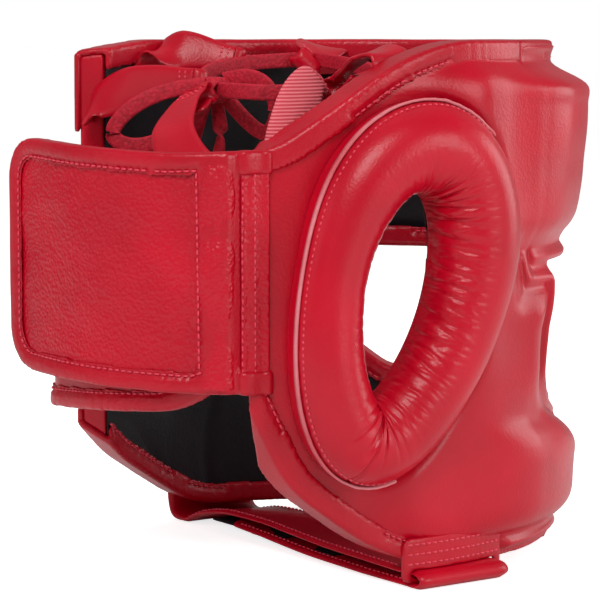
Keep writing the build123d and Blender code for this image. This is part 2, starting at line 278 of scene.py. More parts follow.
def grainLeather(name, look):
    # full-grain cowhide under a pigmented glossy finish: even colour, soft highlights, a fine pebbled grain
    material, tree, shader = newMaterial(name)
    place = addNode(tree, "TexCoord").outputs["Object"]
    cloud = addNode(tree, "TexNoise", [(place, "Vector")], scale=28, detail=4)
    colours = addNode(tree, "ValToRGB", [(cloud.outputs["Fac"], "Fac")])
    for stop, at, colour in zip(colours.color_ramp.elements, (0.35, 0.68), (look["dark"], look["light"])):
        stop.position, stop.color = at, linear(colour)
    tree.links.new(colours.outputs["Color"], shader.inputs["Base Color"])
    pebble = 1 / (look["grain"] * mm)
    pebbles = addNode(tree, "TexVoronoi", [(place, "Vector")],
                      feature="SMOOTH_F1", scale=pebble, smoothness=0.6)
    lines = addNode(tree, "TexNoise", [(place, "Vector")], scale=0.35 * pebble, detail=5, distortion=0.6)
    height = addNode(tree, "Math", [(pebbles.outputs["Distance"], 0), (lines.outputs["Fac"], 1)],
                     operation="ADD")
    relief = addNode(tree, "Bump", [(height.outputs[0], "Height")],
                     strength=look["relief"], distance=0.4 * mm)
    tree.links.new(relief.outputs["Normal"], shader.inputs["Normal"])
    tree.links.new(relief.outputs["Normal"], shader.inputs["Coat Normal"])
    gloss = addNode(tree, "MapRange", [(lines.outputs["Fac"], "Value")])
    gloss.inputs["To Min"].default_value = look["rough"] - 0.05
    gloss.inputs["To Max"].default_value = look["rough"] + 0.06
    tree.links.new(gloss.outputs["Result"], shader.inputs["Roughness"])
    shader.inputs["Coat Weight"].default_value = look["coat"]
    shader.inputs["Coat Roughness"].default_value = 0.2
    shader.inputs["IOR"].default_value = 1.47
    shader.inputs["Specular IOR Level"].default_value = 0.36
    return material


# grain is the spacing of the pebbles in mm
redLook = {"dark": "#B2001E", "light": "#C20022", "grain": 1.1, "relief": 0.14, "rough": 0.33, "coat": 0.1}
bindingLook = redLook | {"dark": "#AA021C", "light": "#BC0422", "grain": 0.9, "relief": 0.2}
cutLook = redLook | {"dark": "#C85860", "light": "#E08890", "rough": 0.6, "coat": 0}
liningLook = {"dark": "#0E0B0E", "light": "#17131A", "grain": 1.3, "relief": 0.25, "rough": 0.5, "coat": 0.0}
gloveLeather = grainLeather("glossRedCowhide", redLook)
flapLeather = grainLeather("pebbledRedCowhide", redLook | {"grain": 1.5, "relief": 0.9, "rough": 0.36})
bindingLeather = grainLeather("redBindingLeather", bindingLook)
rawEdge = grainLeather("rawCutLeather", cutLook)
liningLeather = grainLeather("charcoalLiningLeather", liningLook)


def spunWithPaintedShade(name, colours, spacing, roughness, relief):
    # twisted or woven yarn: the first tone on each yarn's raised middle and the darker second tone in the
    # hollows between yarns as painted shade, a small relief at the yarn's spacing, a dull sheen
    material, tree, shader = newMaterial(name)
    place = addNode(tree, "TexCoord").outputs["Object"]
    yarn = addNode(tree, "TexVoronoi", [(place, "Vector")], feature="SMOOTH_F1", scale=1 / (spacing * mm))
    # painted shade: the ramp runs from the yarn's raised middle to darker hollows between yarns
    paintedLightRamp = addNode(tree, "ValToRGB", [(yarn.outputs["Distance"], "Fac")])
    for stop, colour in zip(paintedLightRamp.color_ramp.elements, colours):
        stop.color = linear(colour)
    tree.links.new(paintedLightRamp.outputs["Color"], shader.inputs["Base Color"])
    bumps = addNode(tree, "Bump", [(yarn.outputs["Distance"], "Height")], strength=relief, distance=0.4 * mm)
    bumps.invert = True
    tree.links.new(bumps.outputs["Normal"], shader.inputs["Normal"])
    shader.inputs["Roughness"].default_value = roughness
    return material


# bonded polyester thread of 0.6 mm whose pale pink is partly a painted highlight, a nylon nap, and a flat
# cotton braid with yarns 1.3 mm apart
redThread = spunWithPaintedShade("redPolyesterThread", ("#E84A60", "#C01830"), 0.6, 0.45, 0.3)
napNylon = spunWithPaintedShade("blackNylonNap", ("#222024", "#08070A"), 0.9, 0.9, 1)
laceCotton = spunWithPaintedShade("redBraidedCotton", ("#D01432", "#8A0418"), 1.3, 0.7, 0.9)

# dark is painted shade in the grooves between the ribs, light is a painted highlight on their tops
elastic = {"rib": 1.4, "dark": "#C02C3C", "light": "#E87880", "rough": 0.75}


def ribbedWeaveWithPaintedLight(name):
    # rubber cords bound in red yarn: level ribs, dark in their grooves as painted shade and pale on top as a
    # painted highlight
    material, tree, shader = newMaterial(name)
    place = addNode(tree, "TexCoord").outputs["Object"]
    waves = 2 * math.pi / (elastic["rib"] * mm) / 20  # the node's waves turn by 20 radians in each unit
    ribs = addNode(tree, "TexWave", [(place, "Vector")], bands_direction="Z", scale=waves)
    ribs.inputs["Distortion"].default_value = 0.4
    # painted light: the grooves take the dark colour as painted shade, the rib tops the light one as a
    # painted highlight
    paintedLightRamp = addNode(tree, "ValToRGB", [(ribs.outputs["Fac"], "Fac")])
    paintedLightRamp.color_ramp.elements[0].color = linear(elastic["dark"])
    paintedLightRamp.color_ramp.elements[1].color = linear(elastic["light"])
    tree.links.new(paintedLightRamp.outputs["Color"], shader.inputs["Base Color"])
    bumps = addNode(tree, "Bump", [(ribs.outputs["Fac"], "Height")], strength=0.8, distance=0.4 * mm)
    tree.links.new(bumps.outputs["Normal"], shader.inputs["Normal"])
    shader.inputs["Roughness"].default_value = elastic["rough"]
    return material


ribbedElastic = ribbedWeaveWithPaintedLight("redRibbedElastic")

# the lace is a flat cotton braid drawn through the crown's tabs and tied in a bow
braid = {"width": 6.6, "thickness": 2.0}
# each cord: its route in mm, its length in mm, its far end and how it lies
routes = {
    "crown_lace": (
        [(-1, 50, 201), (-26, 54, 201), (-34, 43, 200), (-45, 21, 202), (-31, -18, 208), (34, -29, 213),
         (43, -22, 213), (49, 11, 211), (29, 42, 206), (5, 50, 202)],
        276.4, "object", "taut",
    ),
    "bow_loop_right": (
        [(0, 45, 205), (-10, 40, 208), (-21, 35, 202), (-23, 34, 188), (-15, 37, 180), (-2, 45, 197)],
        69.8, "object", "loose",
    ),
    "bow_loop_left": (
        [(1, 54, 203), (10, 66, 202), (19, 82, 193), (25, 88, 181), (16, 77, 176), (5, 60, 186),
         (0, 55, 197)],
        95.6, "object", "loose",
    ),
    "lace_tail_right": (
        [(5, 46, 196), (2, 45, 184), (6, 45, 170), (3, 47, 157)],
        40.1, "bare", "hanging",
    ),
    "lace_tail_left": (
        [(6, 51, 196), (11, 53, 184), (10, 57, 170), (13, 58, 158)],
        40.0, "bare", "hanging",
    ),
}


def makeCord(name, route):
    curve = bpy.data.curves.new(name + "_braid", "CURVE")
    curve.dimensions = "3D"
    curve.twist_mode = "Z_UP"
    spline = curve.splines.new("NURBS")
    spline.points.add(len(route) - 1)
    for point, place in zip(spline.points, route):
        point.co = (*[c * mm for c in place], 1)
    spline.order_u = 3
    spline.use_endpoint_u = True
    spline.resolution_u = 12
    curve.bevel_depth = braid["thickness"] / 2 * mm
    curve.extrude = (braid["width"] - braid["thickness"]) / 2 * mm
    curve.bevel_resolution = 3
    curve.use_fill_caps = True
    cord = newObject(name + "_braid", curve)
    finish(cord, laceCotton, [name])


for name, (route, length, farEnd, lay) in routes.items():
    makeCord(name, route)
print("lace tied")

# a stitch is a short length of thread whose two ends taper and sink into the leather
thread = {"pitch": 3.0, "length": 2.3, "width": 0.85, "height": 0.8, "sink": 0.3, "taper": 0.3}


def stitchShape():
    # one stitch of length 1 and half width 1: x is up, y across and z ahead
    bm = bmesh.new()
    bmesh.ops.create_cone(bm, cap_ends=True, segments=6, radius1=1, radius2=1, depth=0.6)
    ends = [face for face in bm.faces if len(face.verts) == 6]
    for face in bmesh.ops.extrude_discrete_faces(bm, faces=ends)["faces"]:
        for vertex in face.verts:
            x, y, z = vertex.co
            sunk = x * thread["taper"] - thread["sink"] / (thread["height"] / 2)
            vertex.co = (sunk, y * thread["taper"], math.copysign(0.5, z))
    return meshOf("stitch", bm)


stitchMesh = stitchShape()


def stitchRow(bm, row, pitch=thread["pitch"], length=thread["length"]):
    # row is a list of (place, way out) along the seam
    lengths = [0]
    for (a, _), (b, _) in zip(row, row[1:]):
        lengths.append(lengths[-1] + (b - a).length)
    at, index = pitch * 0.5 * mm, 0
    while at < lengths[-1]:
        while lengths[index + 1] < at:
            index += 1
        (a, upA), (b, upB) = row[index], row[index + 1]
        share = (at - lengths[index]) / max(lengths[index + 1] - lengths[index], 1e-9)
        ahead = (b - a).normalized()
        up = upA.lerp(upB, share).normalized()
        up = (up - ahead * up.dot(ahead)).normalized()
        axes = Matrix((up * thread["height"] / 2, ahead.cross(up) * thread["width"] / 2, ahead * length))
        stitch = stitchMesh.copy()
        stitch.transform(Matrix.Translation(a.lerp(b, share)) @ (axes * mm).transposed().to_4x4())
        bm.from_mesh(stitch)
        bpy.data.meshes.remove(stitch)
        at += pitch * mm


def stitchPiece(name, rows, body="guard", **spacing):
    bm = bmesh.new()
    for row in rows:
        if len(row) > 1:
            stitchRow(bm, row, **spacing)
    bmesh.ops.recalc_face_normals(bm, faces=bm.faces)
    return finish(newObject(name, meshOf(name, bm)), redThread, body=body)


# how a binding's seam is found: the least bend of its end edge in radians, how flat its side lies on the
# shell, how far past the edge and how deep the leather is looked for, and how near it must be; then how far
# inside the edge and how high the stitches run, and the shortest row
seam = {"bend": 0.9, "flat": 0.7, "past": 1.5, "deep": 2, "near": 4, "inset": 1.5, "lift": 0.12,
        "shortest": 12}


def bindingRows(binding, leathers):
    # the seam runs just inside the edge where a binding ends on the leather that it holds
    under = treeOf(*leathers)
    bm = bmesh.new()
    bm.from_mesh(nodes[binding].data)
    bmesh.ops.remove_doubles(bm, verts=bm.verts, dist=0.01 * mm)
    bm.normal_update()
    links = {}
    for edge in bm.edges:
        if len(edge.link_faces) != 2 or edge.calc_face_angle(0) < seam["bend"]:
            continue
        middle = (edge.verts[0].co + edge.verts[1].co) / 2
        faces, verts = list(edge.link_faces), list(edge.verts)
        for flat, step in (faces, faces[::-1]):
            if abs(shellPlace(middle)[1].dot(flat.normal)) < seam["flat"]:
                continue
            probe = middle + step.normal * seam["past"] * mm - flat.normal * seam["deep"] * mm
            near, way, _, _ = under.find_nearest(probe, seam["near"] * mm)
            if near is not None and (probe - near).dot(way) < 0:
                for here, there in (verts, verts[::-1]):
                    links.setdefault(here, []).append((there, flat.normal.copy(), step.normal.copy()))
    rows, done = [], set()
    ends = sorted((v for v in links if len(links[v]) == 1), key=lambda v: v.index)
    for start in ends + sorted(links, key=lambda v: v.index):
        if start in done:
            continue
        row, vertex = [], start
        while vertex is not None and vertex not in done:
            done.add(vertex)
            _, flat, step = links[vertex][0]
            row.append((vertex.co - step * seam["inset"] * mm + flat * seam["lift"] * mm, flat))
            vertex = next((there for there, _, _ in links[vertex] if there not in done), None)
        rows.append(row)
    bm.free()
    shortest = seam["shortest"] * mm
    return [row for row in rows if sum((b[0] - a[0]).length for a, b in zip(row, row[1:])) > shortest]


# the ear rings are stuffed tubes, wrinkled towards the hole that each is drawn round
ring = {"middle": (95, 25.5, 121), "half": (30.5, 60), "point": 0.15, "lean": 15, "turn": 8.5, "clear": 0.4,
        "fill": 0.9, "steps": 560, "round": 88}
# the tube's radius in mm from the top (0) round the front and the bottom (180) to the top again
ringTube = [(0, 19), (60, 18.5), (100, 17), (150, 16.5), (180, 17.5), (215, 16), (270, 14), (310, 16.5),
            (360, 19)]
# the seam allowance runs back from the start, over the top and down behind, with a row of stitches beside it
ringEdge = {"start": 22, "sweep": 218, "steps": 240}
ringStitches = {"start": 20, "sweep": 212, "every": 2, "around": 24, "pitch": 2.6, "length": 1.6}


def ringFrame(side):
    turn, lean = math.radians(ring["turn"]), math.radians(ring["lean"])
    outwards = Vector((side * math.cos(turn), math.sin(turn), 0))
    forwards = Vector((side * math.sin(turn), -math.cos(turn), 0))
    upwards = Vector((0, 0, 1)) * math.cos(lean) + forwards * math.sin(lean)
    ahead = forwards * math.cos(lean) - Vector((0, 0, 1)) * math.sin(lean)
    return outwards, ahead, upwards


def ringCentre(side, degree):
    _, ahead, upwards = ringFrame(side)
    x, y, z = ring["middle"]
    turn = math.radians(degree)
    wide, tall = ring["half"]
    across = wide * math.sin(turn) * (1 + ring["point"] * math.cos(turn))
    return Vector((side * x, y, z)) * mm + (ahead * across + upwards * tall * math.cos(turn)) * mm


def ringPlace(side, degree, around, grow=0.0):
    # around is 0 at the outer edge, 90 on top and 180 towards the hole
    outwards = ringFrame(side)[0]
    step = ringCentre(side, degree + 0.5) - ringCentre(side, degree - 0.5)
    away = (step.cross(outwards) * side).normalized()
    turn = math.radians(around)
    lift, spread = math.sin(turn), math.cos(turn)
    if lift < 0:
        spread = math.copysign(abs(spread) ** 0.5, spread)
    radius = (along(ringTube, degree % 360) + grow) * mm
    way = away * spread + outwards * lift
    place = ringCentre(side, degree) + way * radius
    out, shellWay, _ = shellPlace(place)
    least = ring["clear"] * mm
    if out < least:
        place += shellWay * (least - out)
    return place, way.normalized()


def ringFold(degree, around, s):
    # depth in mm of the wrinkles at a place on the tube; s is the distance along it in mm
    inside = -math.cos(math.radians(around))
    top = hump(25, 48, (degree + 180) % 360 - 180)
    front = hump(100, 45, degree)
    bottom = hump(182, 24, degree)
    lean = around / 160
    drawn = crease(s / 5.5 + lean, around / 110, 3) ** 1.6 * smooth(0.1, 0.95, inside)
    fan = crease(s / 4.5 + 0.2 * lean, around / 150, 8) ** 1.3 * smooth(-0.75, 0.7, inside)
    fine = crease(s / 3.2 + 0.5 * lean, around / 45, 14) ** 2 * smooth(-0.35, 0.4, inside)
    dent = ripple(s / 26, around / 60, 21)
    return (drawn * (1.5 * top + 0.7 * front + 0.25) + fan * 2.2 * bottom
            + fine * (0.4 * front + 0.2 * top + 0.06) + 0.3 * dent)


def makeRing(side, name):
    steps, around = ring["steps"], ring["round"]
    centres = [ringCentre(side, i * 360 / steps) for i in range(steps)]
    lengths = [0]
    for a, b in zip(centres, centres[1:]):
        lengths.append(lengths[-1] + (b - a).length / mm)

    def stuffed(i, j):
        i %= steps
        degree, angle = i * 360 / steps, j * 360 / around
        place, way = ringPlace(side, degree, angle)
        # nothing is drawn in where the tube lies on the shell, and the folds fade out where the loop closes
        free = smooth(0.5 * mm, 4 * mm, shellPlace(place)[0])
        closing = smooth(0, 14, degree) * smooth(0, 14, 360 - degree)
        groove = 0.9 * hump(0, 0.8, (degree - 184) * 1.1)
        return place - way * (ringFold(degree, angle, lengths[i]) * closing + groove) * free * mm

    tube = meshOf(f"{name}_ear_ring", tubeOf(steps, around, stuffed, closed=True))
    parts = [f"{name}_ear_ring_cover", f"{name}_ear_ring_stuffing"]
    finish(newObject(f"{name}_ear_ring", tube), gloveLeather, parts)

    def cutEdge(i, j):
        # the raw edge of the seam allowance stands up along the ring's back and top, beside its stitches
        degree = ringEdge["start"] - i * ringEdge["sweep"] / ringEdge["steps"]
        wave = 0.5 * ripple(i / 4, side, 3)
        corners = ((2, 0.5), (13 + 3 * wave, 1.5 + wave), (15 + 3 * wave, 0.7 + wave), (4, -0.4))
        return ringPlace(side, degree, *corners[j])[0]

    lip = meshOf(f"{name}_ring_edge", tubeOf(ringEdge["steps"], 4, cutEdge))
    finish(newObject(f"{name}_ring_edge", lip), rawEdge)
    row = [ringPlace(side, ringStitches["start"] - i, ringStitches["around"], 0.1)
           for i in range(0, ringStitches["sweep"], ringStitches["every"])]
    stitchPiece(f"{name}_ring_stitches", [row], pitch=ringStitches["pitch"], length=ringStitches["length"])


for side, name in ((-1, "right"), (1, "left")):
    makeRing(side, name)
print("ear rings stuffed")

# the leather outside, stuffed over forehead, temples and cheeks; thicknesses and distances in mm
skin = {"voxel": 1.5, "rounds": 6, "grow": 0.85, "forehead": 18.5, "temple": 10, "cheek": 13.5, "roll": 14,
        "earGap": 6, "outside": (-6, -1), "front": (46, 8), "band": 5, "bands": 60, "evened": 6, "fill": 0.7}
shellParts = ("right_side", "left_side", "forehead")
padParts = ("forehead_pad", "right_cheek_pad", "left_cheek_pad")
covers = [f"{part}_{layer}" for part in shellParts for layer in ("cover", "foam")]
pads = [f"{part}_{layer}" for part in padParts for layer in ("cover", "foam")]
guardBindings = ("right_binding", "left_binding", "forehead_binding")
# in front of this and below this the leather swells over its binding, which lies flat on it by this much
hidden = {"front": -34, "top": 188, "flat": 0.5}


def freeEdge(name):
    # round the face only the very edge of a binding holds the leather down
    obj = fitToTemples(copyOf(f"{name}_free", [name]))
    bm = bmesh.new()
    bm.from_mesh(obj.data)
    bpy.data.objects.remove(obj)
    buried = []
    for face in bm.faces:
        middle = face.calc_center_median()
        front = middle.y < hidden["front"] * mm and middle.z < hidden["top"] * mm
        if front and abs(face.normal.dot(shellPlace(middle)[1])) > hidden["flat"]:
            buried.append(face)
    bmesh.ops.delete(bm, geom=buried, context="FACES")
    return meshOf(f"{name}_free", bm)


edges = treeOf(*[freeEdge(name) for name in guardBindings])
rings = treeOf(*[bpy.data.objects[f"{name}_ear_ring"].data for name in ("right", "left")])
# how far the stuffed front reaches towards the temple, in mm, at heights in mm from the chin up
fullness = [(5, 107), (12, 113.5), (21, 118), (30, 120), (39, 120.5), (47, 119.7), (56, 116), (64, 110.5),
            (73, 107.5), (85, 106), (99, 105.8), (108, 107), (116, 108.4), (125, 111), (134, 114), (142, 118),
            (151, 121.4), (160, 123.2), (170, 124.1), (186, 125.3), (195, 124.8), (203, 122.5), (212, 112)]


# the bearings in degrees over which the stuffing gets thinner towards the back, by what share, and the
# heights in mm over which the cheek gives way to the temple
thinner = {"forehead": (58, 76), "temple": (80, 94), "templeShare": 0.8, "cheek": (66, 88), "cheekShare": 0.6,
           "all": (94, 106), "cheekTop": (62, 100)}


def stuffing(point, bearing):
    # how thick the padding is at a place on the shell, in metres
    front = 1 - smooth(*thinner["forehead"], bearing)
    upper = skin["temple"] + (skin["forehead"] - skin["temple"]) * front
    upper *= 1 - thinner["templeShare"] * smooth(*thinner["temple"], bearing)
    lower = skin["cheek"] * (1 - thinner["cheekShare"] * smooth(*thinner["cheek"], bearing))
    height = upper + (lower - upper) * (1 - smooth(*thinner["cheekTop"], point.z / mm))
    return height * mm * (1 - smooth(*thinner["all"], bearing))


def liftSkin(obj):
    # the outer side rises off the shell by its stuffing, less where an edge or a ring holds it down
    lifted = []
    inner, outer = (depth * mm for depth in skin["outside"])
    for vertex in obj.data.vertices:
        out, way, bearing = shellPlace(vertex.co)
        if out < inner:
            continue
        toEdge = edges.find_nearest(vertex.co)[3]
        toRing = rings.find_nearest(vertex.co)[3]
        roll = min(toEdge / (skin["roll"] * mm), 1)
        room = math.sqrt(max(1 - (1 - roll) ** 2, 0)) * smooth(0.3 * mm, skin["earGap"] * mm, toRing)
        room *= smooth(inner, outer, out)
        vertex.co += way * stuffing(vertex.co, bearing) * room
        lifted.append((vertex, room, toEdge, toRing, bearing))
    return lifted


def frontProfile(lifted):
    # how far the skin reaches in each band of height, with the bands evened out
    count, band = skin["bands"], skin["band"] * mm
    furthest = [0] * count
    for vertex, *_ in lifted:
        level = min(max(round(vertex.co.z / band), 0), count - 1)
        furthest[level] = max(furthest[level], reach(vertex.co))
    filled = [k for k in range(count) if furthest[k]]
    profile = [furthest[min(max(k, filled[0]), filled[-1])] for k in range(count)]
    for _ in range(skin["evened"]):
        profile = [(profile[max(k - 1, 0)] + 2 * profile[k] + profile[min(k + 1, count - 1)]) / 4
                   for k in range(count)]
    return profile


def fillFront(lifted):
    # the front moves out or in until it reaches as far as it should at each height, and less further back
    begin, full = (depth * mm for depth in skin["front"])
    profile, band = frontProfile(lifted), skin["band"] * mm
    for vertex, room, *_ in lifted:
        level = vertex.co.z / band
        low = math.floor(level)
        now = profile[low] + (profile[low + 1] - profile[low]) * (level - low)
        push = along(fullness, vertex.co.z / mm) * mm - now
        share = smooth(now - begin, now - full, reach(vertex.co)) * min(room * 1.3, 1)
        vertex.co += towardsTemple(vertex.co) * push * share


# the folds of the skin: how far apart they are and how long they run in mm, how sharp and how deep in mm
creases = {
    "rim": (8, 34, 1.2, 2.4),
    "rimLines": (4, 12, 1.5, 0.9),
    "chin": (4.5, 26, 1.3, 2),
    "crown": (16, 30, 2, 1.2),
    "back": (9, 12, 1.5, 0.7),
    "backLines": (3, 7, 2, 0.3),
    "ring": (6, 20, 1.6, 0.6),
}
# where each kind of fold is: the bearings in degrees and heights in mm over which it comes on or goes, and
# the distances in mm from the edge or the ring at which it begins and ends
foldZones = {
    "rim": {"bearing": (84, 98), "height": (140, 165), "begin": (0.4, 2.5), "end": (8, 26)},
    "chin": {"bearing": (96, 110), "height": (12, 30), "top": (44, 60), "begin": (0.3, 2), "end": (5, 13)},
    "crown": {"bearing": (76, 88), "height": (190, 205), "begin": (0.3, 2), "end": (6, 16)},
    "back": {"bearing": (108, 114), "height": (60, 90)},
    "ring": {"begin": (0.5, 2), "end": (2, 14)},
}


def fold(kind, across, run, seed):
    spacing, length, sharpness, depth = creases[kind]
    return crease(across / spacing, run / length, seed) ** sharpness * depth


def wrinkleSkin(lifted):
    for vertex, room, toEdge, toRing, bearing in lifted:
        x, y, z = vertex.co / mm
        edge, gap = toEdge / mm, toRing / mm
        # the folds at the rim stand across it, and it falls towards the back
        zone = foldZones["rim"]
        slope = 0.9 * -y + 0.43 * z + math.copysign(200, x)
        rim = smooth(*zone["bearing"], bearing) * smooth(*zone["height"], z) * smooth(*zone["begin"], edge)
        depth = fold("rim", slope, edge, 5) * rim * (1 - smooth(*zone["end"], edge))
        lines = fold("rimLines", slope, edge, 9) * rim
        zone = foldZones["chin"]
        chin = smooth(*zone["height"], z) * (1 - smooth(*zone["top"], z)) * smooth(*zone["begin"], edge)
        chin *= (1 - smooth(*zone["end"], edge)) * (1 - smooth(*zone["bearing"], bearing))
        depth += fold("chin", y, z, math.copysign(4, x)) * chin
        zone = foldZones["crown"]
        crown = smooth(*zone["height"], z) * smooth(*zone["begin"], edge)
        crown *= (1 - smooth(*zone["end"], edge)) * (1 - smooth(*zone["bearing"], bearing))
        depth += fold("crown", abs(x) - y, edge, 2) * crown
        zone = foldZones["back"]
        back = smooth(*zone["bearing"], bearing) * smooth(*zone["height"], z)
        depth += (fold("back", y, z, 17) + fold("backLines", y, z, 27)) * back
        zone = foldZones["ring"]
        drawn = (1 - smooth(*zone["end"], gap)) * smooth(*zone["begin"], gap)
        depth += fold("ring", z + y * 2 / 3, gap, 31) * drawn
        dents = 0.8 * ripple(x / 38, y / 38, z / 38) + 0.3 * ripple(x / 13, y / 13, z / 13)
        vertex.co += shellPlace(vertex.co)[1] * (dents * min(room + 0.2, 1) - depth) * mm


def makeSkin():
    obj = softened(copyOf("leather_skin", covers), skin["voxel"] * mm, skin["rounds"], grow=skin["grow"] * mm)
    fitToTemples(obj)
    lifted = liftSkin(obj)
    for _ in range(2):
        fillFront(lifted)
    relaxed(obj, 5)
    graph = bpy.context.evaluated_depsgraph_get()
    settled = [vertex.co.copy() for vertex in obj.evaluated_get(graph).to_mesh().vertices]
    for vertex, place in zip(obj.data.vertices, settled):
        vertex.co = place
    obj.modifiers.clear()
    wrinkleSkin(lifted)
    finish(obj, gloveLeather, covers + pads)


makeSkin()
print("skin stuffed")

# the lining sags a little and has soft folds; depths in mm
lining = {"voxel": 1.6, "rounds": 3, "sag": 1.2, "fold": 1.1, "inside": (-12, -10.6)}
linings = [f"{part}_lining" for part in shellParts]


def makeLining():
    obj = softened(copyOf("lining", linings), lining["voxel"] * mm, lining["rounds"], grow=skin["grow"] * mm)
    fitToTemples(obj)
    for vertex in obj.data.vertices:
        out, way, _ = shellPlace(vertex.co)
        x, y, z = vertex.co / mm
        sag = lining["sag"] * ripple(x / 30, y / 30, z / 45)
        sag += lining["fold"] * crease(x / 26 + y / 26, z / 60, 6) ** 2
        vertex.co += way * sag * mm * (1 - smooth(*lining["inside"], out / mm))
    finish(obj, liningLeather, linings)


makeLining()

# bindings: what each holds, and its body; then how far they swell and how they are rounded, in mm
bindings = {}
for binding, part in (("right", "right_side"), ("left", "left_side"), ("forehead", "forehead")):
    bindings[f"{binding}_binding"] = ([f"{part}_{layer}" for layer in ("cover", "foam", "lining")], "guard")
bindings["tongue_binding"] = (["tongue_cover"], "tongue")
roll = {"height": 0.9, "voxel": 0.9, "rounds": 3, "groove": 0.5, "pucker": 0.4, "lumps": 0.2}


def rolled(obj, rows):
    # a binding swells on both sides of its seam, and puckers at the stitches
    line = kdtree.KDTree(sum(len(row) for row in rows))
    for index, (place, _) in enumerate(step for row in rows for step in row):
        line.insert(place, index)
    line.balance()
    for vertex, normal in zip(obj.data.vertices, normalsOf(obj)):
        x, y, z = vertex.co / mm
        gap = (line.find(vertex.co)[2] or 0) / mm
        swell = smooth(0.2, 2.6, gap) - roll["groove"] * hump(0, 0.9, gap)
        puckers = crease((x + y + z) / 4, (x - z) / 7, y / 7) ** 2 * roll["pucker"] * hump(1.6, 1.6, gap)
        lumps = roll["lumps"] * ripple(x / 14, y / 14, z / 14)
        vertex.co += normal * (roll["height"] * (swell + lumps) - puckers) * mm
    return obj


def dense(rows, step=0.8):
    # the same rows with places close together
    result = []
    for row in rows:
        finer = []
        for (a, upA), (b, upB) in zip(row, row[1:]):
            parts = max(int((b - a).length / (step * mm)), 1)
            finer += [(a.lerp(b, k / parts), upA.lerp(upB, k / parts)) for k in range(parts)]
        result.append(finer + row[-1:])
    return result


for name, (leathers, body) in bindings.items():
    rows = dense(bindingRows(name, leathers))
    strip = rolled(softened(copyOf(f"{name}_roll", [name]), roll["voxel"] * mm, roll["rounds"]), rows)
    finish(strip, bindingLeather, [name], body=body)
    stitchPiece(f"{name}_stitches", rows, body)
print("bindings sewn")

# rear flap: grained leather over a fold, sewn on at its root with two rows. The root is a bearing in degrees,
# and the rest is in mm, past the root: the fold's middle, half width and height, each groove's middle, half
# width and depth, the two rows of stitches, and where it bends; then the depths of its sag and fine lines
flap = {"root": 124.5, "low": 83, "high": 178, "out": 4.9, "over": 7, "bind": 8, "voxel": 0.9, "rounds": 5,
        "grow": 0.3, "fold": (13, 8.5, 2.6), "grooves": ((3.9, 1.1, 1.6), (0.6, 1.6, 0.8)),
        "seams": (2.7, -2.2), "bend": (-2, 5), "sag": 0.9, "dents": 0.35, "lines": 0.35}
root, rootWay = onShell(flap["root"], -1, 0)
flapLine = Vector((rootWay.y, -rootWay.x, 0))


def rootStrip(low, high, top, over):
    # leather that laps from the flap over the side's edge, thinning to its cut edge
    back, cutEdge, under, millimetresPerDegree = 1.5, 2.2, 0.35, 2.0
    bm = bmesh.new()
    bmesh.ops.create_grid(bm, x_segments=18, y_segments=24, size=1)
    raised = bmesh.ops.extrude_face_region(bm, geom=bm.faces[:])["geom"]
    upper = {part for part in raised if isinstance(part, bmesh.types.BMVert)}
    for vertex in bm.verts:
        share, climb = (vertex.co.x + 1) / 2, (vertex.co.y + 1) / 2
        bearing = flap["root"] + back - (back + over / millimetresPerDegree) * share
        height = top - (top - cutEdge) * smooth(0.1, 0.75, share) if vertex in upper else under
        vertex.co = onShell(bearing, -1, (low + (high - low) * climb) * mm, height * mm)[0]
    bmesh.ops.recalc_face_normals(bm, faces=bm.faces)
    return meshOf("strip", bm)


def bent(obj):
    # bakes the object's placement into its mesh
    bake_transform(obj)


def flapLeatherPiece():
    middle, half, height = flap["fold"]
    strip = rootStrip(flap["low"] + 2, flap["high"] - 1, flap["out"], flap["over"])
    parts = copyOf("flap_leather", ["flap_cover", strip])
    obj = softened(parts, flap["voxel"] * mm, flap["rounds"], grow=flap["grow"] * mm)
    for vertex, normal in zip(obj.data.vertices, normalsOf(obj)):
        x, y, z = vertex.co / mm
        past = (vertex.co - root).dot(flapLine) / mm
        outside = smooth(0.3, 0.8, normal.dot(rootWay.lerp(Vector((0, 1, 0)), smooth(20, 60, past))))
        band = height * math.sqrt(max(1 - ((past - middle) / half) ** 2, 0))
        groove = sum(depth * hump(at, width, past) for at, width, depth in flap["grooves"])
        sag = flap["sag"] * ripple(x / 30, y / 30, z / 24) + flap["dents"] * ripple(x / 10, y / 10, z / 10)
        lines = flap["lines"] * crease(past / 6, z / 24, 12) ** 2
        lines *= smooth(-8, 4, past) * (1 - smooth(20, 40, past))
        vertex.co += normal * (band - groove + sag - lines) * outside * mm
    finish(obj, flapLeather, ["flap_cover"], body=None)
    bent(obj)
    return obj


def flapEdgePiece(rows):
    out, over = flap["out"] + 0.2, flap["over"] + 0.5
    ends = [rootStrip(flap["high"] - flap["bind"], flap["high"] + 0.3, out, over),
            rootStrip(flap["low"] - 0.2, flap["low"] + flap["bind"], out, over)]
    parts = copyOf("flap_edge", ["flap_binding", *ends])
    band = rolled(softened(parts, flap["voxel"] * mm, flap["rounds"], grow=flap["grow"] * mm), rows)
    finish(band, bindingLeather, ["flap_binding"], body=None)
    bent(band)


def flapSeams(leather):
    surface, rows = treeOf(leather.data), []
    for past in flap["seams"]:
        row = []
        for z in range(flap["low"] + 7, flap["high"] - 7, 2):
            shift = flapLine * (past + 0.25 * ripple(z / 30, past, 0))
            hit = surface.ray_cast(root + (shift + Vector((0, 0, z)) + rootWay * 30) * mm, -rootWay)[0]
            if hit:
                row.append((hit + rootWay * 0.1 * mm, rootWay))
        rows.append(row)
    bent(stitchPiece("flap_seam_stitches", rows, body=None, pitch=3.1, length=2.3))


edgeRows = dense(bindingRows("flap_binding", ["flap_cover", "flap_lining"]))
flapSkin = flapLeatherPiece()
flapEdgePiece(edgeRows)
flapSeams(flapSkin)
stitchPiece("flap_edge_stitches", edgeRows, "rear_flap")
print("flap sewn on")


